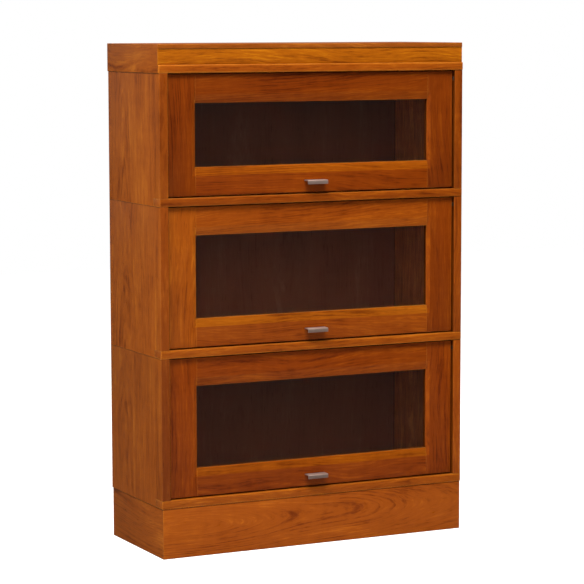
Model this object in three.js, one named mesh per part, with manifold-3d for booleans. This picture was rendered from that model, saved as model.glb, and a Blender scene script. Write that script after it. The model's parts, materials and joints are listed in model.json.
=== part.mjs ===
// Stacking bookcase: plinth, three box sections with lift-and-slide glass doors, and a crown.
// Millimetres, +Z up, X across the front, the front face looks along -Y.
import * as THREE from 'three';
import Module from 'manifold-3d';
import { ConvexGeometry } from 'three/addons/geometries/ConvexGeometry.js';
import { mergeVertices } from 'three/addons/utils/BufferGeometryUtils.js';

const wasm = await Module();
wasm.setup();

// carcass
const caseWidth = 914;
const caseDepth = 355;
const sideThick = 24;
const past = 1;                  // how far a cutter runs past the wood
const railHeight = 22;
const railDepth = 46;
const shelfHousing = 8;          // how far the shelf board sits in the side
const tongue = 8;                // shelf tongue length in the front rail
const tongueThick = 6;
const backThick = 8;
const backRabbet = 10;
const stretcherDepth = 20;
const stretcherThick = 10;

// doors
const doorInset = 8;
const doorThick = 20;
const doorSideGap = 4;
const doorBottomGap = 4;
const doorTopGap = 3;
const stileWidth = 78;
const doorRailWidth = 76;
const bevelOnStile = 9.5;
const bevelOnRail = 23;
const bevelDepth = 3.5;
const rebateDepth = 11;          // from the door face to the glass
const rebateWidth = 8;
const glassThick = 4;
const glassPlay = 0.5;
const beadWidth = 7.5;
const tenonLength = 12.5;
const tenonThick = 4;
const tenonShoulder = 12;
const tenonGap = 2;              // between the tenon and the rebate

// lift-and-slide guides
const pivotDrop = 20;            // pivot below the top of the door
const pivotRadius = 3;
const boreRadius = 3.1;
const boreDepth = 15;
const pinReach = 14;
const roundSides = 48;
const grooveHeight = 10;
const grooveDepth = 8;
const grooveFront = 6;
const guidePlay = 0.3;
const guideGap = 0.5;            // before, beside and behind the guide in its groove
const guideLength = 28;
const studRoot = 2;              // how far the stud runs into the guide

// pulls
const pullWidth = 60;
const pullReach = 24;
const pullDrop = 11;
const flangeWidth = 38;          // the flange on the door, narrower than the pull
const pullPlate = 2.5;
const pullBend = 3.5;
const pullTop = 33.5;            // top of the pull above the bottom of the door

// plinth and crown
const plinthHeight = 136;
const plinthThick = 20;
const plinthInset = 2;
const blockSize = 36;
const blockLow = 20;
const blockHigh = 120;
const crownHeight = 76;
const crownOverhang = 1.5;
const crownBack = 357;
const crownThick = 20;
const crownTopThick = 12.5;
const crownTopFront = 4.5;
const mouldingHeight = 22;
const mouldingDepth = 6;
const dustPanelThick = 8;

const sections = [
  { name: 'lower', bottom: 136, height: 403, travel: 284 },
  { name: 'middle', bottom: 539, height: 403, travel: 284 },
  { name: 'upper', bottom: 942, height: 350, travel: 244 },
];
const crownBottom = 1292;

// the pulls stand in front of the case and the crown reaches behind it: centre the two
const frontPlane = -(crownBack - (pullReach - doorInset)) / 2;

function finish(name, color, roughness, metalness) {
  const material = new THREE.MeshStandardMaterial({ color, roughness, metalness });
  material.name = name;
  return material;
}

const cherry = finish('cherry', 0xa65a22, 0.45, 0);
const panelCherry = finish('cherry_ply', 0x8f4d22, 0.55, 0);
const glass = finish('glass', 0x9fb0a8, 0.08, 0);
glass.transparent = true;
glass.opacity = 0.35;
const nickel = finish('nickel', 0x9a938c, 0.35, 0.9);
const nylon = finish('nylon', 0x24211f, 0.6, 0);

function bare(geometry) {
  geometry.deleteAttribute('normal');
  if (geometry.getAttribute('uv')) {
    geometry.deleteAttribute('uv');
  }
  return geometry;
}

function solid(geometry) {
  const clean = mergeVertices(bare(geometry), 0.0001);
  const vertProperties = new Float32Array(clean.getAttribute('position').array);
  const triVerts = new Uint32Array(clean.index.array);
  return new wasm.Manifold(new wasm.Mesh({ numProp: 3, vertProperties, triVerts }));
}

function geometryOf(manifold) {
  const mesh = manifold.getMesh();
  const geometry = new THREE.BufferGeometry();
  geometry.setAttribute('position', new THREE.BufferAttribute(new Float32Array(mesh.vertProperties), 3));
  geometry.setIndex(new THREE.BufferAttribute(new Uint32Array(mesh.triVerts), 1));
  geometry.computeVertexNormals();
  return geometry;
}

function block(x, y, z) {
  const box = new THREE.BoxGeometry(x[1] - x[0], y[1] - y[0], z[1] - z[0]);
  box.translate((x[0] + x[1]) / 2, (y[0] + y[1]) / 2, (z[0] + z[1]) / 2);
  return solid(box);
}

// a board drawn in plan and given a height
function plank(outline, low, high) {
  const shape = new THREE.Shape(outline.map(([x, y]) => new THREE.Vector2(x, y)));
  const geometry = new THREE.ExtrudeGeometry(shape, { depth: high - low, bevelEnabled: false });
  geometry.translate(0, 0, low);
  return solid(geometry);
}

// a round bar along X
function bar(radius, from, to, y, z) {
  const rod = new THREE.CylinderGeometry(radius, radius, to - from, roundSides);
  rod.rotateZ(Math.PI / 2);
  rod.translate((from + to) / 2, y, z);
  return solid(rod);
}

function piece(group, name, manifold, material) {
  const mesh = new THREE.Mesh(geometryOf(manifold), material);
  mesh.name = name;
  group.add(mesh);
  return mesh;
}

// the same piece for both hands: side -1 is left, +1 is right
function span(side, inner, outer) {
  return side < 0 ? [-outer, -inner] : [inner, outer];
}

const halfWidth = caseWidth / 2;
const innerFace = halfWidth - sideThick;
const backFront = caseDepth - backThick;
const pivotY = doorInset + doorThick / 2;
const hands = [['left', -1], ['right', 1]];

function carcass(section) {
  const group = new THREE.Group();
  const low = section.bottom;
  const high = low + section.height;
  const floorTop = low + railHeight;
  const pivotZ = high - doorTopGap - pivotDrop;
  group.name = `${section.name}_case`;

  for (const [hand, side] of hands) {
    let panel = block(span(side, innerFace, halfWidth), [0, caseDepth], [low, high]);
    const notch = block(span(side, innerFace - past, halfWidth + past), [-past, railDepth], [low - past, floorTop]);
    const housing = block(span(side, innerFace - past, innerFace + shelfHousing), [railDepth - past, backFront],
      [low - past, floorTop]);
    const rabbet = block(span(side, innerFace - past, innerFace + backRabbet), [backFront, caseDepth + past],
      [low - past, high + past]);
    const grooveEnd = grooveFront + guideLength + section.travel + 2 * guideGap;
    const groove = block(span(side, innerFace - past, innerFace + grooveDepth), [grooveFront, grooveEnd],
      [pivotZ - grooveHeight / 2, pivotZ + grooveHeight / 2]);
    panel = panel.subtract(notch).subtract(housing).subtract(rabbet).subtract(groove);
    piece(group, `${section.name}_side_${hand}`, panel, cherry);
  }

  const middle = low + railHeight / 2;
  const tongueZ = [middle - tongueThick / 2, middle + tongueThick / 2];
  const tongueX = [-innerFace, innerFace];
  const tongueBox = () => block(tongueX, [railDepth - tongue, railDepth + past], tongueZ);
  const rail = block([-halfWidth, halfWidth], [0, railDepth], [low, floorTop]).subtract(tongueBox());
  piece(group, `${section.name}_front_rail`, rail, cherry);

  const shelfX = [-innerFace - shelfHousing, innerFace + shelfHousing];
  const shelf = block(shelfX, [railDepth, backFront], [low, floorTop]).add(tongueBox());
  piece(group, `${section.name}_shelf_board`, shelf, panelCherry);

  const backX = [-innerFace - backRabbet, innerFace + backRabbet];
  piece(group, `${section.name}_back_panel`, block(backX, [backFront, caseDepth], [low, high]), panelCherry);

  const stretcher = block([-innerFace, innerFace], [backFront - stretcherDepth, backFront],
    [high - stretcherThick, high]);
  piece(group, `${section.name}_rear_stretcher`, stretcher, cherry);
  return group;
}

// the shallow tray with four sloping sides that is cut in the face of the door
function tray(openX, openZ, face) {
  const points = [];
  for (const [depth, grow] of [[-past, (bevelDepth + past) / bevelDepth], [bevelDepth, 0]]) {
    for (const [sx, sz] of [[0, 0], [0, 1], [1, 0], [1, 1]]) {
      const x = openX[sx] + (sx ? 1 : -1) * bevelOnStile * grow;
      const z = openZ[sz] + (sz ? 1 : -1) * bevelOnRail * grow;
      points.push(new THREE.Vector3(x, face + depth, z));
    }
  }
  return solid(new ConvexGeometry(points));
}

function door(section) {
  const group = new THREE.Group();
  const low = section.bottom + railHeight + doorBottomGap;
  const high = section.bottom + section.height - doorTopGap;
  const face = doorInset;
  const back = doorInset + doorThick;
  const edge = innerFace - doorSideGap;
  const openX = [-edge + stileWidth, edge - stileWidth];
  const openZ = [low + doorRailWidth, high - doorRailWidth];
  const pivotZ = high - pivotDrop;
  group.name = `${section.name}_door`;

  const window = block(openX, [face - past, back + past], openZ);
  const rebate = block([openX[0] - rebateWidth, openX[1] + rebateWidth], [face + rebateDepth, back + past],
    [openZ[0] - rebateWidth, openZ[1] + rebateWidth]);
  const cut = window.add(rebate).add(tray(openX, openZ, face));

  const tenonY = [face + rebateDepth - tenonThick, face + rebateDepth];
  const tenonSpans = [
    [low + tenonShoulder, openZ[0] - rebateWidth - tenonGap],
    [openZ[1] + rebateWidth + tenonGap, high - tenonShoulder],
  ];

  for (const [hand, side] of hands) {
    let stile = block(span(side, openX[1], edge), [face, back], [low, high]);
    for (const tenonZ of tenonSpans) {
      stile = stile.subtract(block(span(side, openX[1] - past, openX[1] + tenonLength), tenonY, tenonZ));
    }
    const boreX = span(side, edge - boreDepth, edge + past);
    stile = stile.subtract(cut).subtract(bar(boreRadius, boreX[0], boreX[1], pivotY, pivotZ));
    piece(group, `${section.name}_door_stile_${hand}`, stile, cherry);
  }

  const rails = [['bottom', [low, openZ[0]], tenonSpans[0]], ['top', [openZ[1], high], tenonSpans[1]]];
  for (const [place, railZ, tenonZ] of rails) {
    const body = block(openX, [face, back], railZ);
    const tenon = block([openX[0] - tenonLength, openX[1] + tenonLength], tenonY, tenonZ);
    piece(group, `${section.name}_door_rail_${place}`, body.subtract(cut).add(tenon), cherry);
  }

  const paneGrow = rebateWidth - glassPlay;
  const paneFront = face + rebateDepth;
  const pane = block([openX[0] - paneGrow, openX[1] + paneGrow], [paneFront, paneFront + glassThick],
    [openZ[0] - paneGrow, openZ[1] + paneGrow]);
  piece(group, `${section.name}_door_glass`, pane, glass);

  const beadY = [paneFront + glassThick, back];
  const beadInner = rebateWidth - beadWidth;
  const outer = block([openX[0] - rebateWidth, openX[1] + rebateWidth], beadY,
    [openZ[0] - rebateWidth, openZ[1] + rebateWidth]);
  const inner = block([openX[0] - beadInner, openX[1] + beadInner], [beadY[0] - past, beadY[1] + past],
    [openZ[0] - beadInner, openZ[1] + beadInner]);
  piece(group, `${section.name}_glass_bead`, outer.subtract(inner), cherry);

  group.add(pull(`${section.name}_door_pull`, face, low + pullTop));
  return group;
}

// a profile drawn in depth and height, given a width along X
function strip(profile, width) {
  const geometry = new THREE.ExtrudeGeometry(profile, { depth: width, bevelEnabled: false, curveSegments: 6 });
  geometry.translate(0, 0, -width / 2);
  geometry.rotateX(Math.PI / 2);
  geometry.rotateZ(-Math.PI / 2);
  return solid(geometry);
}

// a bent strip: a flat top from the door and a lip in front, with a narrower flange on the door
function pull(name, face, top) {
  const lip = new THREE.Shape();
  const inner = pullBend - pullPlate;
  const reach = pullReach;
  const drop = -pullDrop;
  const quarter = Math.PI / 2;
  lip.moveTo(0, -pullPlate);
  lip.lineTo(reach - pullBend, -pullPlate);
  lip.absarc(reach - pullBend, -pullBend, inner, quarter, 0, true);
  lip.lineTo(reach - pullPlate, drop);
  lip.lineTo(reach, drop);
  lip.lineTo(reach, -pullBend);
  lip.absarc(reach - pullBend, -pullBend, pullBend, 0, quarter, false);
  lip.lineTo(0, 0);
  lip.lineTo(0, -pullPlate);
  const flange = new THREE.Shape();
  flange.moveTo(0, drop);
  flange.lineTo(pullPlate, drop);
  flange.lineTo(pullPlate, -pullBend);
  flange.absarc(pullBend, -pullBend, inner, 2 * quarter, quarter, true);
  flange.lineTo(pullBend, -pullPlate / 2);
  flange.lineTo(0, -pullPlate / 2);
  flange.lineTo(0, drop);
  const bent = strip(lip, pullWidth).add(strip(flange, flangeWidth));
  const mesh = new THREE.Mesh(geometryOf(bent), nickel);
  mesh.name = name;
  mesh.position.set(0, face, top);
  return mesh;
}

function guides(section) {
  const group = new THREE.Group();
  const pivotZ = section.bottom + section.height - doorTopGap - pivotDrop;
  const edge = innerFace - doorSideGap;
  const front = grooveFront + guideGap;
  group.name = `${section.name}_guides`;
  for (const [hand, side] of hands) {
    const shoe = block(span(side, innerFace, innerFace + grooveDepth - guideGap), [front, front + guideLength],
      [pivotZ - grooveHeight / 2 + guidePlay, pivotZ + grooveHeight / 2 - guidePlay]);
    const pinX = span(side, edge - pinReach, innerFace + studRoot);
    const guide = shoe.add(bar(pivotRadius, pinX[0], pinX[1], pivotY, pivotZ));
    piece(group, `${section.name}_guide_${hand}`, guide, nylon);
  }
  return group;
}

function plinth() {
  const group = new THREE.Group();
  const outer = halfWidth - plinthInset;
  const inner = outer - plinthThick;
  const back = caseDepth - plinthInset;
  const up = [0, plinthHeight];
  group.name = 'plinth';
  const front = [[-outer, 0], [outer, 0], [inner, plinthThick], [-inner, plinthThick]];
  piece(group, 'plinth_front', plank(front, ...up), cherry);
  for (const [hand, side] of hands) {
    const outline = [[side * outer, 0], [side * outer, back], [side * inner, back], [side * inner, plinthThick]];
    piece(group, `plinth_side_${hand}`, plank(side < 0 ? outline : outline.reverse(), ...up), cherry);
    const blockX = span(side, inner - blockSize, inner);
    const blockZ = [blockLow, blockHigh];
    const frontY = [plinthThick, plinthThick + blockSize];
    const backY = [back - plinthThick - blockSize, back - plinthThick];
    piece(group, `plinth_block_front_${hand}`, block(blockX, frontY, blockZ), panelCherry);
    piece(group, `plinth_block_back_${hand}`, block(blockX, backY, blockZ), panelCherry);
  }
  piece(group, 'plinth_back', block([-inner, inner], [back - plinthThick, back], up), panelCherry);
  return group;
}

function crown() {
  const group = new THREE.Group();
  const outer = halfWidth + crownOverhang;
  const inner = outer - crownThick;
  const front = mouldingDepth;
  const mitre = front + crownThick;
  const top = crownBottom + crownHeight;
  const under = top - crownTopThick;
  group.name = 'crown';
  const face = [[-outer, front], [outer, front], [inner, mitre], [-inner, mitre]];
  piece(group, 'crown_front', plank(face, crownBottom, under), cherry);
  const moulding = block([-outer, outer], [0, front], [crownBottom, crownBottom + mouldingHeight]);
  piece(group, 'crown_moulding', moulding, cherry);
  for (const [hand, side] of hands) {
    const outline = [[side * outer, front], [side * outer, crownBack], [side * inner, crownBack],
      [side * inner, mitre]];
    piece(group, `crown_side_${hand}`, plank(side < 0 ? outline : outline.reverse(), crownBottom, top), cherry);
  }
  const lid = [[-outer, crownTopFront], [outer, crownTopFront], [outer, front], [inner, mitre],
    [inner, crownBack], [-inner, crownBack], [-inner, mitre], [-outer, front]];
  piece(group, 'crown_top', plank(lid, under, top), cherry);
  const rear = block([-inner, inner], [crownBack - crownThick, crownBack], [crownBottom, under]);
  piece(group, 'crown_back', rear, panelCherry);
  const dust = block([-inner, inner], [mitre, crownBack - crownThick], [crownBottom, crownBottom + dustPanelThick]);
  piece(group, 'crown_dust_panel', dust, panelCherry);
  return group;
}

const bookcase = new THREE.Group();
bookcase.name = 'barrister_bookcase';
bookcase.add(plinth());
for (const section of sections) {
  bookcase.add(carcass(section));
  bookcase.add(door(section));
  bookcase.add(guides(section));
}
bookcase.add(crown());
bookcase.position.set(0, frontPlane, 0);
bookcase.updateMatrixWorld(true);

export default bookcase;
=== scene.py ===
import json
import math

import bmesh
import bpy
from mathutils import Euler, Matrix, Vector

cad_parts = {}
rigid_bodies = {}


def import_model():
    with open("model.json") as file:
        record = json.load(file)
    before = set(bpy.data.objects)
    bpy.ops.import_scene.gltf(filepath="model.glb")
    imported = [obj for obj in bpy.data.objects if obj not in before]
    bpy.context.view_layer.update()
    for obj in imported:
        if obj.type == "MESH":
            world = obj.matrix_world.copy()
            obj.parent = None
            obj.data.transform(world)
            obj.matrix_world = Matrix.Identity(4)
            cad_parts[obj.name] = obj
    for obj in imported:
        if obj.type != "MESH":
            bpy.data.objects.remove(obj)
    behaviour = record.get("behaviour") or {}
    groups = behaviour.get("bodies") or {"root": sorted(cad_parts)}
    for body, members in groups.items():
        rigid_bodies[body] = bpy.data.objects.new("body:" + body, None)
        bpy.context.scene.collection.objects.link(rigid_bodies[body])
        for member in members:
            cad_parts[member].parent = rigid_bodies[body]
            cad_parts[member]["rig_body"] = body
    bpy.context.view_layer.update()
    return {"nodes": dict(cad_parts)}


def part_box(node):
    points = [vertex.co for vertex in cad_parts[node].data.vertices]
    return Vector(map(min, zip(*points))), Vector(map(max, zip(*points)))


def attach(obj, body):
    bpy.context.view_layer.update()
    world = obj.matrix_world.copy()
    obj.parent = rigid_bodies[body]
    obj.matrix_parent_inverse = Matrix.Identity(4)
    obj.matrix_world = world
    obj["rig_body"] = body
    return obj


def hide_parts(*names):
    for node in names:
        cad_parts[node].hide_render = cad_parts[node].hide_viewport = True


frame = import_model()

nodes = frame["nodes"]
mm = 0.001
white = (1.0, 1.0, 1.0, 1.0)


# camera and light

cameraSetup = {
    "place": (-2.9217, -5.9470, 1.4173),
    "yaw": 26.260,          # degrees, turned towards +X
    "pitch": 6.360,         # degrees, looking down
    "roll": -0.104,
    "lens": 147.76,         # mm, and so is the sensor's width
    "sensor": 36.0,
}

studio = {
    "wall": 1.0,                    # the backdrop, as the camera sees it
    "roomFront": 0.06,              # light from the room, in front of the case and behind it
    "roomBack": 0.16,
    "roomTurn": (-0.5, 0.9),        # the directions along Y between which the one becomes the other
    "floorSize": 14.0,
    "floorDrop": 0.0004,
    "floorColour": (0.55, 0.55, 0.547),
    "floorRoughness": 0.9,
    "floorFleck": {"Scale": 3.0, "Detail": 4.0},
    "floorShade": 0.985,            # how dark the flecks are
    "floorGlow": 0.90,              # lifts the paper to white for the camera
    "top": {"place": (-0.9, -1.95, 4.8), "aim": (0.0, -0.17, 0.6), "size": (3.2, 1.0), "power": 350.0},
    "front": {"place": (-2.4, -5.2, 2.6), "aim": (0.0, 0.0, 0.6), "size": (1.6, 1.6), "power": 40.0},
    "left": {"place": (-4.4, -0.6, 2.8), "aim": (-0.4, 0.0, 0.6), "size": (2.4, 2.0), "power": 130.0},
    "right": {"place": (4.4, 1.2, 2.6), "aim": (0.4, 0.1, 0.6), "size": (2.4, 2.0), "power": 110.0},
}


def makeCamera():
    setup = cameraSetup
    yaw = math.radians(setup["yaw"])
    pitch = math.radians(setup["pitch"])
    roll = math.radians(setup["roll"])
    forward = Vector((math.sin(yaw) * math.cos(pitch), math.cos(yaw) * math.cos(pitch), -math.sin(pitch)))
    right = Vector((math.cos(yaw), -math.sin(yaw), 0.0))
    up = right.cross(forward)
    across = right * math.cos(roll) + up * math.sin(roll)
    upward = up * math.cos(roll) - right * math.sin(roll)
    data = bpy.data.cameras.new("camera")
    data.lens = setup["lens"]
    data.sensor_width = setup["sensor"]
    camera = bpy.data.objects.new("camera", data)
    turned = Matrix((across, upward, -forward)).transposed().to_4x4()
    camera.matrix_world = Matrix.Translation(setup["place"]) @ turned
    bpy.context.scene.collection.objects.link(camera)
    bpy.context.scene.camera = camera


def makeSoftbox(name):
    values = studio[name]
    data = bpy.data.lights.new(name + "Light", "AREA")
    data.shape = "RECTANGLE"
    data.size, data.size_y = values["size"]
    data.energy = values["power"]
    light = bpy.data.objects.new(name + "Light", data)
    place = Vector(values["place"])
    light.location = place
    light.rotation_mode = "QUATERNION"
    light.rotation_quaternion = (Vector(values["aim"]) - place).to_track_quat("-Z", "Y")
    bpy.context.scene.collection.objects.link(light)


def makeRoom():
    world = bpy.data.worlds.new("room")
    bpy.context.scene.world = world
    world.use_nodes = True
    tree = world.node_tree
    tree.nodes.clear()
    output = addNode(tree, "ShaderNodeOutputWorld")
    wall = addNode(tree, "ShaderNodeBackground", {"Color": white, "Strength": studio["wall"]})
    room = addNode(tree, "ShaderNodeBackground", {"Color": white})
    way = addNode(tree, "ShaderNodeSeparateXYZ")
    tree.links.new(addNode(tree, "ShaderNodeTexCoord").outputs["Generated"], way.inputs[0])
    level = rangeNode(tree, way.outputs["Y"], *studio["roomTurn"], studio["roomFront"], studio["roomBack"])
    tree.links.new(level, room.inputs["Strength"])
    seen = addNode(tree, "ShaderNodeLightPath")
    mix = addNode(tree, "ShaderNodeMixShader")
    tree.links.new(seen.outputs["Is Camera Ray"], mix.inputs[0])
    tree.links.new(room.outputs[0], mix.inputs[1])
    tree.links.new(wall.outputs[0], mix.inputs[2])
    tree.links.new(mix.outputs[0], output.inputs["Surface"])
    bpy.context.scene.view_settings.view_transform = "Standard"


def makeFloor():
    bm = bmesh.new()
    bmesh.ops.create_grid(bm, x_segments=1, y_segments=1, size=studio["floorSize"] / 2)
    bmesh.ops.translate(bm, verts=bm.verts, vec=(0.0, 0.0, -studio["floorDrop"]))
    floor = newPiece("floor", bm)
    material, shader = plainMaterial("floorPaper", studio["floorColour"], studio["floorRoughness"])
    tree = material.node_tree
    fleck = addNode(tree, "ShaderNodeTexNoise", studio["floorFleck"])
    shade = addNode(tree, "ShaderNodeMix", data_type="RGBA")
    shade.inputs["A"].default_value = opaque(studio["floorColour"])
    shade.inputs["B"].default_value = opaque(studio["floorColour"], studio["floorShade"])
    tree.links.new(objectPlace(tree), fleck.inputs["Vector"])
    tree.links.new(fleck.outputs[0], shade.inputs["Factor"])
    tree.links.new(shade.outputs["Result"], shader.inputs["Base Color"])
    shader.inputs["Specular IOR Level"].default_value = 0.0
    glow = addNode(tree, "ShaderNodeEmission", {"Color": white, "Strength": studio["floorGlow"]})
    # gloss sees the room's own light there, so that no horizon shows in it
    dim = addNode(tree, "ShaderNodeEmission", {"Color": white, "Strength": studio["roomFront"]})
    path = addNode(tree, "ShaderNodeLightPath")
    lit = addNode(tree, "ShaderNodeAddShader")
    forCamera = addNode(tree, "ShaderNodeMixShader")
    forGloss = addNode(tree, "ShaderNodeMixShader")
    tree.links.new(shader.outputs[0], lit.inputs[0])
    tree.links.new(glow.outputs[0], lit.inputs[1])
    tree.links.new(path.outputs["Is Camera Ray"], forCamera.inputs[0])
    tree.links.new(shader.outputs[0], forCamera.inputs[1])
    tree.links.new(lit.outputs[0], forCamera.inputs[2])
    tree.links.new(path.outputs["Is Glossy Ray"], forGloss.inputs[0])
    tree.links.new(forCamera.outputs[0], forGloss.inputs[1])
    tree.links.new(dim.outputs[0], forGloss.inputs[2])
    tree.links.new(forGloss.outputs[0], tree.nodes["Material Output"].inputs["Surface"])
    floor.data.materials.append(material)


# small helpers for meshes and node trees

def newPiece(name, bm):
    mesh = bpy.data.meshes.new(name)
    bm.to_mesh(mesh)
    bm.free()
    piece = bpy.data.objects.new(name, mesh)
    bpy.context.scene.collection.objects.link(piece)
    return piece


def addNode(tree, kind, inputs=None, **settings):
    made = tree.nodes.new(kind)
    for name, value in settings.items():
        setattr(made, name, value)
    for name, value in (inputs or {}).items():
        made.inputs[name].default_value = value
    return made


def mathNode(tree, operation, first, second=None, clamp=False):
    made = addNode(tree, "ShaderNodeMath", operation=operation, use_clamp=clamp)
    for socket, value in zip(made.inputs, (first, second)):
        if value is None:
            continue
        if isinstance(value, (int, float)):
            socket.default_value = value
        else:
            tree.links.new(value, socket)
    return made.outputs[0]


def rangeNode(tree, value, low, high, newLow=0.0, newHigh=1.0, smooth=True):
    made = addNode(tree, "ShaderNodeMapRange", interpolation_type="SMOOTHSTEP" if smooth else "LINEAR")
    tree.links.new(value, made.inputs["Value"])
    made.inputs["From Min"].default_value = low
    made.inputs["From Max"].default_value = high
    made.inputs["To Min"].default_value = newLow
    made.inputs["To Max"].default_value = newHigh
    return made.outputs["Result"]


def opaque(colour, times=1.0):
    return (*[part * times for part in colour], 1.0)


def objectPlace(tree):
    return addNode(tree, "ShaderNodeTexCoord").outputs["Object"]


def newGroup(name, inputs, outputs):
    tree = bpy.data.node_groups.new(name, "ShaderNodeTree")
    for label, kind, value in inputs:
        socket = tree.interface.new_socket(name=label, in_out="INPUT", socket_type=kind)
        if value is not None:
            socket.default_value = value
    for label, kind in outputs:
        tree.interface.new_socket(name=label, in_out="OUTPUT", socket_type=kind)
    return tree, tree.nodes.new("NodeGroupInput"), tree.nodes.new("NodeGroupOutput")


def useGroup(tree, group, values):
    made = tree.nodes.new("ShaderNodeGroup")
    made.node_tree = group
    for name, value in values.items():
        made.inputs[name].default_value = value
    return made


def plainMaterial(name, colour, roughness=0.5, metallic=0.0):
    material = bpy.data.materials.new(name)
    material.use_nodes = True
    shader = material.node_tree.nodes["Principled BSDF"]
    shader.inputs["Base Color"].default_value = opaque(colour)
    shader.inputs["Roughness"].default_value = roughness
    shader.inputs["Metallic"].default_value = metallic
    return material, shader


# cherry wood: rings cut by the face of the board, streaks that follow them,
# soft blotches, gum flecks and pores

cherryGroup, cherryIn, cherryOut = newGroup(
    "cherryGrain",
    [
        ("Vector", "NodeSocketVector", None),      # metres, the grain runs along X
        ("Colour", "NodeSocketColor", (0.40, 0.10, 0.01, 1.0)),
        ("Heart Depth", "NodeSocketFloat", 0.09),  # how far the heart lies under the face
        ("Heart Side", "NodeSocketFloat", 0.0),    # and beside the middle of the board
        ("Heart Slope", "NodeSocketFloat", 0.10),
        ("Rings Per Metre", "NodeSocketFloat", 150.0),
        ("Figure", "NodeSocketFloat", 0.3),
        ("Streaks", "NodeSocketFloat", 0.5),
        ("Blotch", "NodeSocketFloat", 0.5),
        ("Flecks", "NodeSocketFloat", 0.5),
    ],
    [
        ("Colour", "NodeSocketColor"),
        ("Roughness", "NodeSocketFloat"),
        ("Height", "NodeSocketFloat"),
    ],
)


def stretchedNoise(tree, place, stretch, detail=3.0, roughness=0.55, distortion=0.0):
    scale = addNode(tree, "ShaderNodeVectorMath", operation="MULTIPLY")
    scale.inputs[1].default_value = stretch
    tree.links.new(place, scale.inputs[0])
    noise = addNode(tree, "ShaderNodeTexNoise",
                    {"Scale": 1.0, "Detail": detail, "Roughness": roughness, "Distortion": distortion})
    tree.links.new(scale.outputs[0], noise.inputs["Vector"])
    return noise.outputs[0]


def sumOf(tree, *values):
    total = values[0]
    for value in values[1:]:
        total = mathNode(tree, "ADD", total, value)
    return total


# noise: its scale along the grain and the two ways across it, and its other settings
# range: the part of the noise that counts, and what it becomes
cherryValues = {
    "rise": {"noise": {"stretch": (1.7, 0.0, 0.0), "detail": 1.0}, "range": (0.2, 0.8, -0.014, 0.014)},
    "sway": {"noise": {"stretch": (1.3, 0.0, 0.0), "detail": 1.0}, "range": (0.2, 0.8, 0.010, -0.010)},
    "wobble": {"noise": {"stretch": (4.0, 12.0, 12.0)}, "range": (0.2, 0.8, -0.0014, 0.0014)},
    "uneven": {"noise": {"Scale": 42.0, "Detail": 1.0}, "range": (0.2, 0.8, -1.3, 1.3)},
    "lateStart": {"range": (0.45, 0.93)},
    "lateEnd": {"range": (0.93, 1.0, 1.0, 0.0)},
    "patch": {"noise": {"stretch": (2.2, 9.0, 9.0), "detail": 2.0}, "range": (0.36, 0.64, 0.12, 1.0)},
    "band": {"noise": {"stretch": (2.4, 75.0, 75.0), "roughness": 0.6}, "range": (0.3, 0.7, -0.17, 0.17)},
    "streak": {"noise": {"stretch": (8.0, 250.0, 250.0), "roughness": 0.65},
               "range": (0.3, 0.7, -0.22, 0.22)},
    "fibre": {"noise": {"stretch": (21.0, 450.0, 450.0), "roughness": 0.7}, "range": (0.3, 0.7, -0.38, 0.38)},
    "blotch": {"noise": {"stretch": (4.0, 11.0, 11.0), "distortion": 0.5}, "range": (0.25, 0.75, -0.5, 0.5)},
    "ripple": {"noise": {"stretch": (46.0, 9.0, 9.0), "detail": 2.0}, "range": (0.3, 0.7, -0.10, 0.10)},
    "fleck": {"noise": {"stretch": (24.0, 300.0, 300.0), "detail": 1.0}, "range": (0.69, 0.75)},
    "pores": {"noise": {"stretch": (70.0, 1500.0, 1500.0), "detail": 1.0}, "range": (0.62, 0.72, 1.0, 0.0)},
    "gloss": {"range": (0.3, 0.7, 0.27, 0.36)},
    "lateDull": 0.05,                   # late wood is a little duller
    "acrossShare": 0.12,                # how much a streak changes across the board
    "middle": 0.56,                     # the tone of plain wood
    "darkWood": (0.46, 0.33, 0.28),     # times the board's own colour, at the darkest, middle and palest
    "plainWood": (0.98, 0.95, 0.95),
    "paleWood": (1.40, 1.66, 1.75),
    "fleckShade": (0.42, 0.32, 0.25),
    "fibreHeight": 0.5,
    "poreHeight": 0.5,
}


def grainNoise(place, name):
    return stretchedNoise(cherryGroup, place, **cherryValues[name]["noise"])


def grainRange(value, name, smooth=True):
    return rangeNode(cherryGroup, value, *cherryValues[name]["range"], smooth=smooth)


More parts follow.
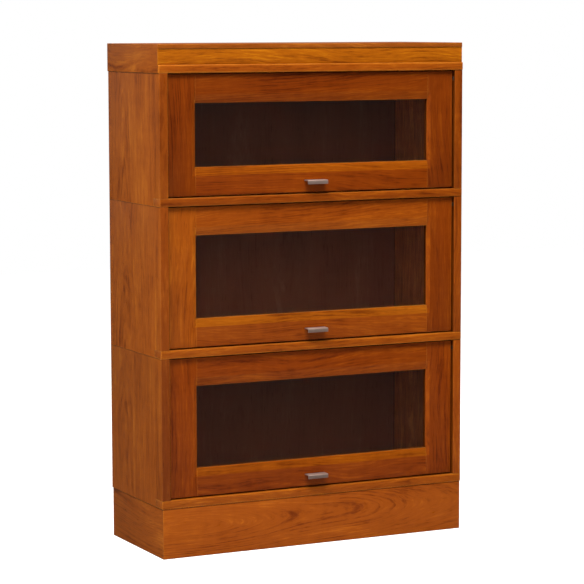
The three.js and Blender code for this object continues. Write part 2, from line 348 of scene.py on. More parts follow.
def buildCherry():
    tree = cherryGroup
    values = cherryValues
    place = cherryIn.outputs["Vector"]
    parts = addNode(tree, "ShaderNodeSeparateXYZ")
    tree.links.new(place, parts.inputs[0])
    along, across, deep = parts.outputs

    # the heart of the tree wanders a little under the board, so its rings come out as arches
    rise = grainRange(grainNoise(place, "rise"), "rise")
    sway = grainRange(grainNoise(place, "sway"), "sway")
    wobble = grainRange(grainNoise(place, "wobble"), "wobble")
    slope = mathNode(tree, "MULTIPLY", along, cherryIn.outputs["Heart Slope"])
    depth = sumOf(tree, deep, cherryIn.outputs["Heart Depth"], slope, rise)
    beside = sumOf(tree, across, cherryIn.outputs["Heart Side"], sway)
    besideSquare = mathNode(tree, "MULTIPLY", beside, beside)
    depthSquare = mathNode(tree, "MULTIPLY", depth, depth)
    squares = mathNode(tree, "ADD", besideSquare, depthSquare)
    reach = mathNode(tree, "ADD", mathNode(tree, "SQRT", squares), wobble)
    uneven = addNode(tree, "ShaderNodeTexNoise", values["uneven"]["noise"], noise_dimensions="1D")
    tree.links.new(reach, uneven.inputs["W"])
    rings = mathNode(tree, "MULTIPLY", reach, cherryIn.outputs["Rings Per Metre"])
    turns = mathNode(tree, "ADD", rings, grainRange(uneven.outputs[0], "uneven", smooth=False))
    phase = mathNode(tree, "FRACT", turns)
    late = mathNode(tree, "MULTIPLY", grainRange(phase, "lateStart"), grainRange(phase, "lateEnd"))
    late = mathNode(tree, "MULTIPLY", late, grainRange(grainNoise(place, "patch"), "patch"))

    # streaks follow the rings, so they bend with the arches
    follow = addNode(tree, "ShaderNodeCombineXYZ")
    tree.links.new(along, follow.inputs[0])
    tree.links.new(reach, follow.inputs[1])
    tree.links.new(mathNode(tree, "MULTIPLY", across, values["acrossShare"]), follow.inputs[2])
    bent = follow.outputs[0]
    fibre = grainNoise(bent, "fibre")
    broad = grainRange(grainNoise(bent, "band"), "band")
    narrow = grainRange(grainNoise(bent, "streak"), "streak")
    fine = grainRange(fibre, "fibre")
    cloud = grainRange(grainNoise(place, "blotch"), "blotch")
    shimmer = grainRange(grainNoise(place, "ripple"), "ripple")
    lines = mathNode(tree, "MULTIPLY", sumOf(tree, broad, narrow, fine), cherryIn.outputs["Streaks"])
    soft = mathNode(tree, "MULTIPLY", sumOf(tree, cloud, shimmer), cherryIn.outputs["Blotch"])
    dark = mathNode(tree, "MULTIPLY", late, cherryIn.outputs["Figure"])
    plain = mathNode(tree, "ADD", sumOf(tree, lines, soft), values["middle"])
    tone = mathNode(tree, "SUBTRACT", plain, dark, clamp=True)
    fleck = grainRange(grainNoise(place, "fleck"), "fleck")
    fleck = mathNode(tree, "MULTIPLY", fleck, cherryIn.outputs["Flecks"])

    shade = addNode(tree, "ShaderNodeMix", data_type="RGBA", blend_type="MULTIPLY")
    shade.inputs["Factor"].default_value = 1.0
    ramp = addNode(tree, "ShaderNodeValToRGB")
    stops = ramp.color_ramp
    stops.interpolation = "EASE"
    stops.elements[0].position = 0.0
    stops.elements[0].color = opaque(values["darkWood"])
    stops.elements[1].position = 1.0
    stops.elements[1].color = opaque(values["paleWood"])
    middle = stops.elements.new(values["middle"])
    middle.color = opaque(values["plainWood"])
    tree.links.new(tone, ramp.inputs[0])
    tree.links.new(cherryIn.outputs["Colour"], shade.inputs["A"])
    tree.links.new(ramp.outputs[0], shade.inputs["B"])

    flecked = addNode(tree, "ShaderNodeMix", data_type="RGBA", blend_type="MULTIPLY")
    flecked.inputs["B"].default_value = opaque(values["fleckShade"])
    tree.links.new(fleck, flecked.inputs["Factor"])
    tree.links.new(shade.outputs["Result"], flecked.inputs["A"])
    tree.links.new(flecked.outputs["Result"], cherryOut.inputs["Colour"])

    gloss = grainRange(fibre, "gloss", smooth=False)
    dull = mathNode(tree, "MULTIPLY", late, values["lateDull"])
    tree.links.new(mathNode(tree, "ADD", gloss, dull), cherryOut.inputs["Roughness"])
    pores = grainRange(grainNoise(place, "pores"), "pores")
    fibreHeight = mathNode(tree, "MULTIPLY", fibre, values["fibreHeight"])
    poreHeight = mathNode(tree, "MULTIPLY", pores, values["poreHeight"])
    tree.links.new(mathNode(tree, "ADD", fibreHeight, poreHeight), cherryOut.inputs["Height"])


buildCherry()

# edges: the pale arris is partly wear and partly a painted highlight, and painted shade darkens where two
# boards meet

wearHighlightShadeGroup, wearHighlightShadeIn, wearHighlightShadeOut = newGroup(
    "edgeWear",
    [
        ("Colour", "NodeSocketColor", (0.4, 0.1, 0.01, 1.0)),
        ("Pale", "NodeSocketColor", (0.6, 0.2, 0.03, 1.0)),
        ("Radius", "NodeSocketFloat", 0.0026),
        ("Amount", "NodeSocketFloat", 0.8),
        ("Crevice", "NodeSocketFloat", 0.8),
    ],
    [("Colour", "NodeSocketColor"), ("Mask", "NodeSocketFloat")],
)


wearHighlightShadeValues = {
    "edge": (0.998, 0.94),              # how far the rounded face has turned from the flat one
    "edgeSamples": 6,
    "broken": (30.0, 30.0, 30.0),       # the wear and painted highlight come and go along an edge
    "brokenRange": (0.35, 0.65, 0.45, 1.0),
    "shut": 0.004,                      # metres, how near another board has to be for the painted shade
    "shutSamples": 8,
    "shutRange": (0.45, 0.82, 1.0, 0.0),
    # the tint of the painted shade in gaps and creases
    "grime": (0.20, 0.07, 0.03),
}


def buildWearHighlightShade():
    tree = wearHighlightShadeGroup
    values = wearHighlightShadeValues
    rounded = addNode(tree, "ShaderNodeBevel", samples=values["edgeSamples"])
    tree.links.new(wearHighlightShadeIn.outputs["Radius"], rounded.inputs["Radius"])
    flat = addNode(tree, "ShaderNodeNewGeometry")
    alike = addNode(tree, "ShaderNodeVectorMath", operation="DOT_PRODUCT")
    tree.links.new(rounded.outputs[0], alike.inputs[0])
    tree.links.new(flat.outputs["True Normal"], alike.inputs[1])
    edge = rangeNode(tree, alike.outputs["Value"], *values["edge"])
    broken = stretchedNoise(tree, objectPlace(tree), values["broken"])
    # painted shade: ambient occlusion darkens the colour where another board is near
    shut = addNode(tree, "ShaderNodeAmbientOcclusion", {"Distance": values["shut"]},
                   samples=values["shutSamples"])
    near = rangeNode(tree, shut.outputs["AO"], *values["shutRange"])
    # mask of the pale edge: partly wear, partly a painted highlight on the arris
    mask = mathNode(tree, "MULTIPLY", edge, rangeNode(tree, broken, *values["brokenRange"]))
    mask = mathNode(tree, "MULTIPLY", mask, mathNode(tree, "SUBTRACT", 1.0, near))
    mask = mathNode(tree, "MULTIPLY", mask, wearHighlightShadeIn.outputs["Amount"], clamp=True)
    worn = addNode(tree, "ShaderNodeMix", data_type="RGBA")
    tree.links.new(mask, worn.inputs["Factor"])
    tree.links.new(wearHighlightShadeIn.outputs["Colour"], worn.inputs["A"])
    tree.links.new(wearHighlightShadeIn.outputs["Pale"], worn.inputs["B"])
    grime = addNode(tree, "ShaderNodeMix", data_type="RGBA", blend_type="MULTIPLY")
    grime.inputs["B"].default_value = opaque(values["grime"])
    tree.links.new(mathNode(tree, "MULTIPLY", near, wearHighlightShadeIn.outputs["Crevice"]), grime.inputs["Factor"])
    tree.links.new(worn.outputs["Result"], grime.inputs["A"])
    tree.links.new(grime.outputs["Result"], wearHighlightShadeOut.inputs["Colour"])
    tree.links.new(mask, wearHighlightShadeOut.inputs["Mask"])


buildWearHighlightShade()
print("grain and edge wear ready")


# boards: the grain runs along the pattern's X, and the wide face looks along its Z

layouts = {
    "across": (-90.0, 0.0, 0.0),       # grain left to right, face to the front
    "upright": (90.0, 0.0, 90.0),      # grain up, face to the front
    "uprightSide": (0.0, 90.0, 0.0),   # grain up, face to the side
    "deepSide": (-90.0, -90.0, 0.0),   # grain front to back, face to the side
    "flat": (0.0, 0.0, 0.0),           # grain left to right, face up
}

# ending of a node's name: layout, easing of outer edges and of joints in mm, the record's slot
boardKinds = {
    "side_left": ("uprightSide", 1.3, 0.35, "cherry"),
    "side_right": ("uprightSide", 1.3, 0.35, "cherry"),
    "front_rail": ("across", 0.9, 0.3, "cherry"),
    "shelf_board": ("flat", 0.4, 0.3, "cherry_ply"),
    "back_panel": ("upright", 0.4, 0.3, "cherry_ply"),
    "rear_stretcher": ("across", 0.8, 0.4, "cherry"),
    "door_stile_left": ("upright", 1.4, 0.3, "cherry"),
    "door_stile_right": ("upright", 1.4, 0.3, "cherry"),
    "door_rail_top": ("across", 1.4, 0.3, "cherry"),
    "door_rail_bottom": ("across", 1.4, 0.3, "cherry"),
    "glass_bead": ("across", 0.8, 0.8, "cherry"),
    "plinth_front": ("across", 0.6, 0.3, "cherry"),
    "plinth_side_left": ("deepSide", 0.6, 0.3, "cherry"),
    "plinth_side_right": ("deepSide", 0.6, 0.3, "cherry"),
    "plinth_back": ("across", 0.5, 0.5, "cherry_ply"),
    "crown_front": ("across", 0.4, 0.3, "cherry"),
    "crown_moulding": ("across", 2.2, 2.2, "cherry"),
    "crown_side_left": ("deepSide", 0.9, 0.3, "cherry"),
    "crown_side_right": ("deepSide", 0.9, 0.3, "cherry"),
    "crown_top": ("flat", 1.2, 0.3, "cherry"),
    "crown_back": ("across", 0.5, 0.5, "cherry_ply"),
    "crown_dust_panel": ("flat", 0.3, 0.3, "cherry_ply"),
    "plinth_block_front_left": ("upright", 1.0, 1.0, "cherry_ply"),
    "plinth_block_front_right": ("upright", 1.0, 1.0, "cherry_ply"),
    "plinth_block_back_left": ("upright", 1.0, 1.0, "cherry_ply"),
    "plinth_block_back_right": ("upright", 1.0, 1.0, "cherry_ply"),
}

# stains, from the palest to the darkest; a board's shade makes its stain stronger or weaker
stains = {
    "honey": (0.39, 0.100, 0.002),
    "golden": (0.33, 0.070, 0.003),
    "tawny": (0.26, 0.062, 0.005),
    "amber": (0.26, 0.050, 0.002),
    "russet": (0.22, 0.037, 0.001),
    "dusky": (0.17, 0.028, 0.001),
}

# the stain of each board, and how it was sawn: a shallow heart gives arches, a deep one straight grain;
# a longer name comes after a shorter one that is part of it
boardTones = {
    "crown_side": {"stain": "tawny", "depth": 0.05, "side": 0.03},
    "crown_front": {"stain": "honey", "shade": 0.85, "wear": 0.4, "grime": 0.3, "streaks": 0.62},
    "crown_moulding": {"stain": "golden", "shade": 0.9, "wear": 1.0, "grime": 0.1, "worn": 6.0},
    "crown_top": {"stain": "tawny", "wear": 0.3},
    "upper_side": {"stain": "tawny", "shade": 1.1, "depth": 0.05, "slope": 0.05, "figure": 0.26},
    "middle_side": {"stain": "tawny", "shade": 1.1},
    "lower_side": {"stain": "tawny"},
    "upper_side_right": {"stain": "amber", "shade": 0.9},
    "middle_side_right": {"stain": "amber", "shade": 1.0},
    "lower_side_right": {"stain": "amber", "shade": 1.1},
    "plinth_side": {"stain": "tawny", "depth": 0.06},
    "plinth_front": {"stain": "golden", "shade": 1.1, "depth": 0.035, "slope": 0.10, "side": 0.015,
                     "figure": 0.24, "streaks": 0.42, "wear": 0.35},
    "upper_front_rail": {"stain": "amber", "shade": 0.9},
    "middle_front_rail": {"stain": "golden", "shade": 0.9},
    "lower_front_rail": {"stain": "golden", "shade": 0.9},
    "upper_door_stile": {"stain": "dusky"},
    "upper_door_stile_left": {"depth": 0.03, "slope": 0.05, "figure": 0.4},
    "upper_door_rail_top": {"stain": "dusky", "depth": 0.035, "slope": 0.08, "figure": 0.32},
    "upper_door_rail_bottom": {"stain": "russet", "depth": 0.035, "slope": 0.08, "figure": 0.32},
    "middle_door_stile_left": {"stain": "golden", "shade": 0.9},
    "middle_door_stile_right": {"stain": "russet", "shade": 0.9},
    "middle_door_rail": {"stain": "amber", "depth": 0.045, "slope": 0.07},
    "lower_door": {"stain": "russet"},
    "rail_end": {"wear": 0.0, "grime": 0.0},
    "_side": {"wear": 0.35},
    "front_rail": {"wear": 1.0, "worn": 3.6},
    "door": {"wear": 0.85, "worn": 2.0},
    "left_front": {"streaks": 0.36, "figure": 0.1},
    "back_panel": {"colour": (0.40, 0.15, 0.075), "figure": 0.08, "streaks": 0.18, "blotch": 0.25},
    # painted light and shade: the same back panel is painted paler in the middle unit and darker in the upper
    # one, for the light inside each
    "middle_back_panel": {"shade": 1.2},
    "upper_back_panel": {"shade": 0.85},
    "shelf_board": {"colour": (0.44, 0.13, 0.03), "figure": 0.12, "streaks": 0.35, "blotch": 0.25},
}
plainTone = {
    "stain": "tawny",
    "shade": 1.0,
    "figure": 0.22,         # how dark the late wood is
    "streaks": 0.52,
    "blotch": 0.34,
    "flecks": 0.5,
    "density": 150.0,       # rings to the metre
    "slope": 0.015,         # of the heart, along the board
    "depth": 0.10,          # metres from the face to the heart
    "side": 0.07,           # metres from the middle of the board to the heart
    # how strong the pale edge is: partly wear, partly a painted highlight
    "wear": 0.9,
    # how strong the painted shade in gaps and creases is
    "grime": 0.95,
    "worn": 2.6,            # mm, the width of a worn edge with its painted highlight
}


def toneOf(name):
    tone = dict(plainTone)
    for part in sorted(boardTones, key=len):
        if part in name:
            tone.update(boardTones[part])
    own = tone.get("colour", stains[tone["stain"]])
    tone["colour"] = [tone["shade"] * value for value in own]
    return tone


slopeGain = {       # the sloped faces around the glass are made lighter than the flat faces
    "rail_top": (1.20, 1.30, 1.20), "rail_bottom": (1.17, 1.50, 1.30),
    "stile_left": (1.18, 1.28, 1.20), "stile_right": (1.18, 1.28, 1.20),
}
insideLitColour = (0.80, 0.29, 0.08)      # painted light: the inside faces of the side panels are painted paler, standing in for light reaching them through the glass
jointShadeLine = {"plinth": (2.8, 0.34), "case": (2.0, 0.48)}      # painted shade in a strip where units stack: width in mm, and shade
paintedGapShade = 0.4      # painted shade on the side panel faces in the narrow gap beside the door
# painted shade: the front edges of the left side panels are darker than the rest of the board
frontShadeGain = {"upper": (0.84, 0.73, 0.6), "middle": (0.85, 0.72, 0.6), "lower": (0.71, 0.58, 0.6)}


cherryFinish = {
    "logs": 37,             # how many logs the boards come from
    "logStep": 0.31,        # metres from one log's wood to the next
    "paleTimes": (1.5, 2.1, 2.2),           # a worn edge with its painted highlight, from the board's own colour
    "paleLift": (0.06, 0.028, 0.006),
    "bump": {"Strength": 0.25, "Distance": 0.0003},
    "specular": 0.13,
}


def cherryMaterial(name, layout, middle, ending="_cherry", colour=None):
    values = cherryFinish
    tone = toneOf(name + ending)
    colour = colour or tone["colour"]
    log = sum((place + 1) * ord(letter) for place, letter in enumerate(name))   # each board from its own log
    start = (log % values["logs"]) * values["logStep"]
    material, shader = plainMaterial(name + ending, colour)
    tree = material.node_tree
    turn = Euler([math.radians(angle) for angle in layouts[layout]])
    mapping = addNode(tree, "ShaderNodeMapping")
    mapping.inputs["Rotation"].default_value = turn
    mapping.inputs["Location"].default_value = Vector((start, 0.0, 0.0)) - turn.to_matrix() @ middle
    tree.links.new(objectPlace(tree), mapping.inputs["Vector"])
    grain = useGroup(tree, cherryGroup, {
        "Colour": opaque(colour), "Figure": tone["figure"], "Streaks": tone["streaks"],
        "Blotch": tone["blotch"], "Flecks": tone["flecks"], "Rings Per Metre": tone["density"],
        "Heart Slope": tone["slope"],
        "Heart Depth": tone["depth"] - start * tone["slope"],   # so that the depth holds at the board's middle
        "Heart Side": tone["side"] * (1 if log % 2 else -1)})
    # the pale edge colour: partly wear, partly a painted highlight
    lifts = zip(colour, values["paleTimes"], values["paleLift"])
    wearHighlightColour = [min(1.0, part * times + lift) for part, times, lift in lifts]
    wear = useGroup(tree, wearHighlightShadeGroup, {
        "Pale": opaque(wearHighlightColour), "Amount": tone["wear"], "Crevice": tone["grime"], "Radius": tone["worn"] * mm})
    bump = addNode(tree, "ShaderNodeBump", values["bump"])
    tree.links.new(mapping.outputs[0], grain.inputs["Vector"])
    tree.links.new(grain.outputs["Colour"], wear.inputs["Colour"])
    tree.links.new(wear.outputs["Colour"], shader.inputs["Base Color"])
    tree.links.new(grain.outputs["Roughness"], shader.inputs["Roughness"])
    tree.links.new(grain.outputs["Height"], bump.inputs["Height"])
    tree.links.new(bump.outputs[0], shader.inputs["Normal"])
    shader.inputs["Specular IOR Level"].default_value = values["specular"]
    return material


easeValues = {
    "weld": 0.02,           # mm between corners that are one
    "straight": 0.5,        # degrees between faces that are one
    "sharp": 7.0,           # degrees, where an edge begins to be eased
    "near": 0.05,           # mm from the outside that still counts as on it
    "stacked": 1.3,         # mm, the easing of level edges where units stack
    "segments": 3,
}


def mergedCopy(name):
    bm = bmesh.new()
    bm.from_mesh(nodes[name].data)
    bmesh.ops.remove_doubles(bm, verts=bm.verts, dist=easeValues["weld"] * mm)
    straight = math.radians(easeValues["straight"])
    bmesh.ops.dissolve_limit(bm, angle_limit=straight, verts=bm.verts, edges=bm.edges)
    return bm


def onPlane(edge, axis, level):
    return all(abs(vert.co[axis] - level) < easeValues["near"] * mm for vert in edge.verts)


def easeEdges(bm, low, high, outer, joint, stacked=None):
    widest = max(outer, joint, stacked or 0.0)
    weights = bm.edges.layers.float.new("bevel_weight_edge")
    for edge in bm.edges:
        if len(edge.link_faces) != 2 or edge.calc_face_angle() < math.radians(easeValues["sharp"]):
            continue
        touching = 0
        level = False
        for axis in range(3):
            if onPlane(edge, axis, low[axis]) or onPlane(edge, axis, high[axis]):
                touching += 1
                level = level or axis == 2
        ease = outer if touching >= 2 else joint
        if stacked and level and touching >= 2:
            ease = stacked
        edge[weights] = ease / widest
    return widest


def addEase(piece, widest):
    ease = piece.modifiers.new("ease", "BEVEL")
    ease.width = widest * mm
    ease.segments = easeValues["segments"]
    ease.limit_method = "WEIGHT"
    ease.harden_normals = True


def cutAcross(bm, axis, level):
    everything = bm.verts[:] + bm.edges[:] + bm.faces[:]
    place = Vector((0.0, 0.0, 0.0))
    normal = Vector((0.0, 0.0, 0.0))
    place[axis] = level
    normal[axis] = 1.0
    bmesh.ops.bisect_plane(bm, geom=everything, plane_co=place, plane_no=normal)


def shaded(colour, gains):
    return [value * gain for value, gain in zip(colour, gains)]


faceValues = {
    "facing": 0.8,          # a face looks along an axis when its normal has this much of it
    "inward": 0.5,
    "upright": 0.2,         # an upright face looks up or down by less than this
    "lean": 0.05,           # a sanded slope leans by more than this
    "behind": 1.0,          # mm behind the door, where the dark gap ends
}


def doorFaces(name, bm, colour):
    gains = next((gains for part, gains in slopeGain.items() if name.endswith(part)), None)
    if gains is None:
        return []
    front = [face for face in bm.faces if face.normal.y < -faceValues["facing"]]
    slopes = [face for face in front if math.hypot(face.normal.x, face.normal.z) > faceValues["lean"]]
    return [("_slope", slopes, shaded(colour, gains))]


# a strip at the top of the board gets painted shade, as if shade fell in the joint under the unit above
def jointShadeFaces(name, bm, colour):
    width, shade = jointShadeLine["plinth" if name.startswith("plinth") else "case"]
    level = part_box(name)[1].z - width * mm
    cutAcross(bm, 2, level)
    upright = [face for face in bm.faces if abs(face.normal.z) < faceValues["upright"]]
    strip = [face for face in upright if face.calc_center_median().z > level]
    return ("_joint", strip, shaded(colour, [shade] * 3))


def panelFaces(name, bm, colour):
    section = name.split("_")[0]
    inward = 1 if name.endswith("left") else -1
    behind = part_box(f"{section}_door_stile_left")[1].y + faceValues["behind"] * mm
    cutAcross(bm, 1, behind)
    joint = jointShadeFaces(name, bm, colour)
    inner = [face for face in bm.faces if face.normal.x * inward > faceValues["inward"]]
    # inside faces behind the door, painted paler as painted light
    inside = [face for face in inner if face.calc_center_median().y > behind]
    # faces in the gap in front of the door, which get painted shade
    gap = [face for face in inner if face.calc_center_median().y < behind]
    found = [joint, ("_inside", inside, insideLitColour), ("_gap", gap, shaded(colour, [paintedGapShade] * 3))]
    if inward == 1:
        # the front edges of the left panels get painted shade
        front = [face for face in bm.faces if face.normal.y < -faceValues["facing"]]
        found.append(("_front", front, shaded(colour, frontShadeGain[section])))
    return found


def endFaces(section, bm):
    found = []
    for side, outward in (("left", -1), ("right", 1)):
        faces = [face for face in bm.faces if face.normal.x * outward > faceValues["facing"]]
        found.append((f"_end_{side}", faces, toneOf(f"{section}_side_{side}")["colour"]))
    return found


def otherFaces(name, bm):
    colour = toneOf(name)["colour"]
    section = name.split("_")[0]
    if "_door_" in name:
        return doorFaces(name, bm, colour)
    if name.endswith("_front_rail"):
        return endFaces(section, bm)
    if name.startswith(("plinth_front", "plinth_side")):
        return [jointShadeFaces(name, bm, colour)]
    if "_side_" in name and section in frontShadeGain:
        return panelFaces(name, bm, colour)
    return []


def makeBoard(name, kind, reference=None):
    layout, outer, joint, slotName = kind
    bm = mergedCopy(name)
    low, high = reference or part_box(name)
    stacks = name.startswith(("plinth", "crown_side")) or "_side_" in name or "front_rail" in name
    widest = easeEdges(bm, low, high, outer, joint, easeValues["stacked"] if stacks else None)
    others = [other for other in otherFaces(name, bm) if other[1]]
    for face in bm.faces:
        face.smooth = True
    for index, (ending, faces, colour) in enumerate(others):
        for face in faces:
            face.material_index = index + 1
    board = newPiece(name + "_board", bm)
    addEase(board, widest)
    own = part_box(name)
    middle = (own[0] + own[1]) / 2
    board.data.materials.append(cherryMaterial(name, layout, middle))
    for ending, faces, colour in others:
        board.data.materials.append(cherryMaterial(name, layout, middle, ending, colour))
    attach(board, nodes[name]["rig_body"])
    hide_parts(name)


def makeBoards():
    count = 0
    for name in sorted(nodes):
        endings = [ending for ending in boardKinds if name.endswith(ending)]
        if not endings:
            continue
        reference = None
        if "_door_stile" in name or "_door_rail" in name:
            section = name.split("_")[0]
            members = [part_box(f"{section}_door_{part}") for part in ("stile_left", "stile_right")]
            reference = (members[0][0], members[1][1])
        makeBoard(name, boardKinds[max(endings, key=len)], reference)
        count += 1
    print("boards eased and grained:", count)


# glass, nickel and nylon

glassValues = {
    "colour": (0.93, 0.92, 0.90),
    "ior": 1.45,
    "haze": 0.0,
    "ripple": {"Scale": 9.0, "Detail": 1.0},
    "bump": {"Strength": 0.02, "Distance": 0.0005},
}

nickelValues = {
    "colour": (0.41, 0.28, 0.23),
    "metal": 0.75,
    "dull": 0.86,                       # the colour's shade, between the two
    "bright": 1.12,
    "brush": (30.0, 2600.0, 2600.0),    # brushed along the pull
    "smear": (60.0, 60.0, 60.0),
    "roughness": (0.3, 0.7, 0.44, 0.58),
    # the pull's pale edges are partly wear and partly a painted highlight; its crevices get painted shade
    "wear": {"Radius": 0.0006, "Amount": 0.5, "Pale": (0.62, 0.58, 0.55, 1.0), "Crevice": 0.4},
    "bump": {"Strength": 0.2, "Distance": 0.0001},
}

nylonValues = {
    "colour": (0.03, 0.028, 0.026),
    "scuffed": 1.9,                     # the colour's shade where it rubs
    "grainy": (900.0, 900.0, 900.0),
    "scuff": (160.0, 40.0, 160.0),
    "scuffRange": (0.5, 0.8),
    "roughness": (0.3, 0.7, 0.48, 0.62),
    "bump": {"Strength": 0.15, "Distance": 0.0001},
}


def makeGlass():
    values = glassValues
    material, shader = plainMaterial("paneGlass", values["colour"], values["haze"])
    shader.inputs["Transmission Weight"].default_value = 1.0
    shader.inputs["IOR"].default_value = values["ior"]
    tree = material.node_tree
    ripple = addNode(tree, "ShaderNodeTexNoise", values["ripple"])
    bump = addNode(tree, "ShaderNodeBump", values["bump"])
    tree.links.new(objectPlace(tree), ripple.inputs["Vector"])
    tree.links.new(ripple.outputs[0], bump.inputs["Height"])
    tree.links.new(bump.outputs[0], shader.inputs["Normal"])
    for name in nodes:
        if name.endswith("_door_glass"):
            nodes[name].data.materials.clear()
            nodes[name].data.materials.append(material)


def nickelMaterial():
    values = nickelValues
    material, shader = plainMaterial("brushedNickel", values["colour"], metallic=values["metal"])
    tree = material.node_tree
    place = objectPlace(tree)
    brush = stretchedNoise(tree, place, values["brush"])
    smear = stretchedNoise(tree, place, values["smear"])
    tint = addNode(tree, "ShaderNodeMix", data_type="RGBA")
    tint.inputs["A"].default_value = opaque(values["colour"], values["dull"])
    tint.inputs["B"].default_value = opaque(values["colour"], values["bright"])
    wear = useGroup(tree, wearHighlightShadeGroup, values["wear"])
    bump = addNode(tree, "ShaderNodeBump", values["bump"])
    tree.links.new(smear, tint.inputs["Factor"])
    tree.links.new(tint.outputs["Result"], wear.inputs["Colour"])
    tree.links.new(wear.outputs["Colour"], shader.inputs["Base Color"])
    tree.links.new(rangeNode(tree, brush, *values["roughness"], smooth=False), shader.inputs["Roughness"])
    tree.links.new(brush, bump.inputs["Height"])
    tree.links.new(bump.outputs[0], shader.inputs["Normal"])
    return material


def nylonMaterial():
    values = nylonValues
    material, shader = plainMaterial("mouldedNylon", values["colour"])
    tree = material.node_tree
    grainy = stretchedNoise(tree, objectPlace(tree), values["grainy"], detail=2.0)
    scuff = stretchedNoise(tree, objectPlace(tree), values["scuff"])
    shade = addNode(tree, "ShaderNodeMix", data_type="RGBA")
    shade.inputs["A"].default_value = opaque(values["colour"])
    shade.inputs["B"].default_value = opaque(values["colour"], values["scuffed"])
    bump = addNode(tree, "ShaderNodeBump", values["bump"])
    tree.links.new(rangeNode(tree, scuff, *values["scuffRange"]), shade.inputs["Factor"])
    tree.links.new(shade.outputs["Result"], shader.inputs["Base Color"])
    tree.links.new(rangeNode(tree, scuff, *values["roughness"]), shader.inputs["Roughness"])
    tree.links.new(grainy, bump.inputs["Height"])
    tree.links.new(bump.outputs[0], shader.inputs["Normal"])
    return material


def dressNode(name, suffix, material, ease):
    bm = mergedCopy(name)
    low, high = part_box(name)
    easeEdges(bm, low, high, ease, ease)
    for face in bm.faces:
        face.smooth = True
    piece = newPiece(name + suffix, bm)
    addEase(piece, ease)
    piece.data.materials.append(material)
    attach(piece, nodes[name]["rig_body"])
    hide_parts(name)


# screws: a coned head with a round recess, in mm

screwValues = {
    "pull": {"head": 2.6, "rise": 1.1, "spread": 12.0, "drop": 7.2, "strip": 2.5},
    "back": {"head": 3.6, "rise": 1.2, "columns": 4, "columnInset": 90.0, "rows": 3, "rowInset": 54.0,
             "bottom": 11.0, "edge": 5.0},
    "shape": {"sides": 20, "top": 0.72, "rim": 0.30, "sunk": 0.35},     # shares of the head, and of its rise
}


def addScrew(bm, place, outward, values):
    head = values["head"] * mm
    rise = values["rise"] * mm
    shape = screwValues["shape"]
    made = bmesh.ops.create_cone(bm, cap_ends=True, segments=shape["sides"], radius1=head,
                                 radius2=head * shape["top"], depth=rise)
    verts = made["verts"]
    bmesh.ops.translate(bm, verts=verts, vec=(0.0, 0.0, rise / 2))
    faces = {face for vert in verts for face in vert.link_faces}
    top = max(faces, key=lambda face: face.calc_center_median().z)
    bmesh.ops.inset_individual(bm, faces=[top], thickness=head * shape["rim"], depth=-rise * shape["sunk"])
    parts = set(verts) | set(top.verts)
    turn = Vector((0.0, 0.0, 1.0)).rotation_difference(Vector(outward)).to_matrix().to_4x4()
    bmesh.ops.transform(bm, matrix=Matrix.Translation(place) @ turn, verts=list(parts))


def spaced(count, low, high):
    return [low + (high - low) * step / (count - 1) for step in range(count)]


def makeScrews(material):
    for section in ("lower", "middle", "upper"):
        values = screwValues["pull"]
        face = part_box(f"{section}_door_stile_left")[0].y - values["strip"] * mm
        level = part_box(f"{section}_door_pull")[1].z - values["drop"] * mm
        bm = bmesh.new()
        for side in (-1, 1):
            addScrew(bm, Vector((side * values["spread"] * mm, face, level)), (0, -1, 0), values)
        screws = newPiece(f"{section}_pull_screws", bm)
        screws.data.materials.append(material)
        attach(screws, f"{section}_door")

        values = screwValues["back"]
        low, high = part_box(f"{section}_back_panel")
        bm = bmesh.new()
        inset = values["columnInset"] * mm
        for x in spaced(values["columns"], low.x + inset, high.x - inset):
            for z in (low.z + values["bottom"] * mm, high.z - values["edge"] * mm):
                addScrew(bm, Vector((x, high.y, z)), (0, 1, 0), values)
        inset = values["rowInset"] * mm
        for z in spaced(values["rows"], low.z + inset, high.z - inset):
            for x in (values["edge"] * mm - high.x, high.x - values["edge"] * mm):
                addScrew(bm, Vector((x, high.y, z)), (0, 1, 0), values)
        screws = newPiece(f"{section}_back_screws", bm)
        screws.data.materials.append(material)
        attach(screws, "case")


# rubber bumpers, one at each lower corner on the back of a door

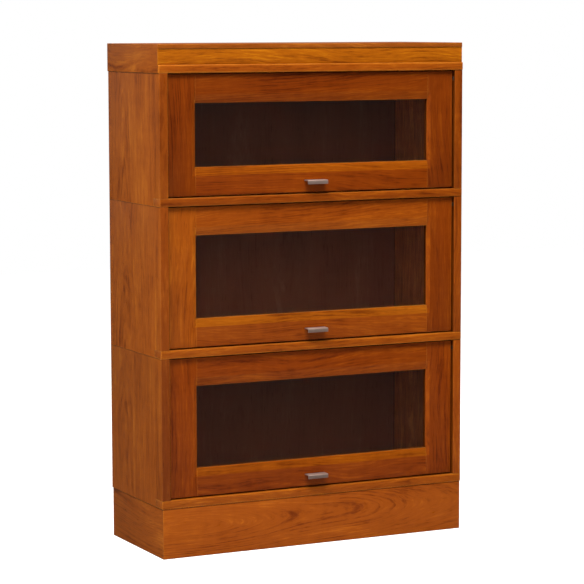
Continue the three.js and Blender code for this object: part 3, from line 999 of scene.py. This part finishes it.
bumperValues = {
    "radius": 4.5,
    "rise": 2.6,
    "dome": ((1.0, 0.84), (0.86, 0.28), (0.5, 0.0)),    # share of the radius, and mm below the top
    "across": 20.0,         # outwards from the middle of the stile
    "up": 14.0,
    "turns": 24,
}


def makeBumpers(material):
    values = bumperValues
    dome = [(values["radius"] * share, values["rise"] - below) for share, below in values["dome"]]
    profile = [(0.0, 0.0), (values["radius"], 0.0), *dome, (0.0, values["rise"])]
    for section in ("lower", "middle", "upper"):
        for side, label in ((-1, "left"), (1, "right")):
            low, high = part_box(f"{section}_door_stile_{label}")
            middle = (low.x + high.x) / 2 + side * values["across"] * mm
            bm = bmesh.new()
            rim = [bm.verts.new((radius * mm, 0.0, rise * mm)) for radius, rise in profile]
            edges = [bm.edges.new(pair) for pair in zip(rim, rim[1:])]
            bmesh.ops.spin(bm, geom=rim + edges, cent=(0, 0, 0), axis=(0, 0, 1), angle=math.tau,
                           steps=values["turns"], use_merge=True)
            bmesh.ops.remove_doubles(bm, verts=bm.verts, dist=easeValues["weld"] * mm)
            bmesh.ops.recalc_face_normals(bm, faces=bm.faces)
            turn = Vector((0.0, 0.0, 1.0)).rotation_difference(Vector((0.0, 1.0, 0.0))).to_matrix().to_4x4()
            place = Matrix.Translation((middle, high.y, low.z + values["up"] * mm))
            bmesh.ops.transform(bm, matrix=place @ turn, verts=bm.verts)
            for face in bm.faces:
                face.smooth = True
            bumper = newPiece(f"{section}_bumper_{label}", bm)
            bumper.data.materials.append(material)
            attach(bumper, f"{section}_door")


makeCamera()
makeRoom()
makeFloor()
for box in ("top", "front", "left", "right"):
    makeSoftbox(box)
print("studio ready")

makeBoards()
makeGlass()
nickel = nickelMaterial()
nylon = nylonMaterial()
pullEase = 0.45     # mm
guideEase = 0.4
for name in sorted(nodes):
    if name.endswith("_door_pull"):
        dressNode(name, "_bent", nickel, pullEase)
    elif "_guide_" in name:
        dressNode(name, "_moulded", nylon, guideEase)
makeScrews(nickel)
makeBumpers(nylon)
print("glass, pulls, guides, screws and bumpers ready")
